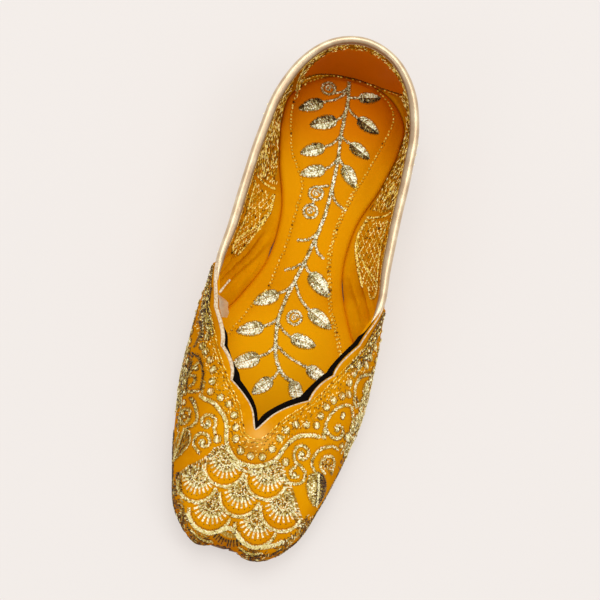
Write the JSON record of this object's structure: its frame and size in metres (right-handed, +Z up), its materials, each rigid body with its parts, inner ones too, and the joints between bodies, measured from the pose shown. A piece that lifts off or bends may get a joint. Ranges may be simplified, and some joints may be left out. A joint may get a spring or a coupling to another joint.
{
  "type": "embroidered slip-on flat shoe",
  "caption": "Low slip-on leather flat with a scalloped V throat, gathered square toe, bound collar and gold thread embroidery all over.",
  "frame": {"origin": "on the floor, under the middle of the shoe's length and width", "axes": "-Y towards the toe, +Y towards the heel, +Z up; +X is the big-toe side of this right shoe"},
  "size_m": [0.0897, 0.2515, 0.0536],
  "materials": {
    "sole_leather": "plain tan sole leather, lightly rubbed",
    "insole_leather": "smooth ochre leather sock over thin padding, embroidered with gold thread",
    "upper_leather": "smooth ochre leather, closely embroidered with pale gold thread",
    "metallic_binding": "rose-gold foiled leather strip, folded and stitched",
    "gold_thread": "pale gold metallic embroidery thread",
    "black_backing": "black cloth backing along the throat"
  },
  "bodies": {
    "root": {"outsole": "sole_leather", "heel_lift": "sole_leather", "insole": "insole_leather", "upper": "upper_leather", "collar_binding": "metallic_binding"}
  },
  "joints": []
}
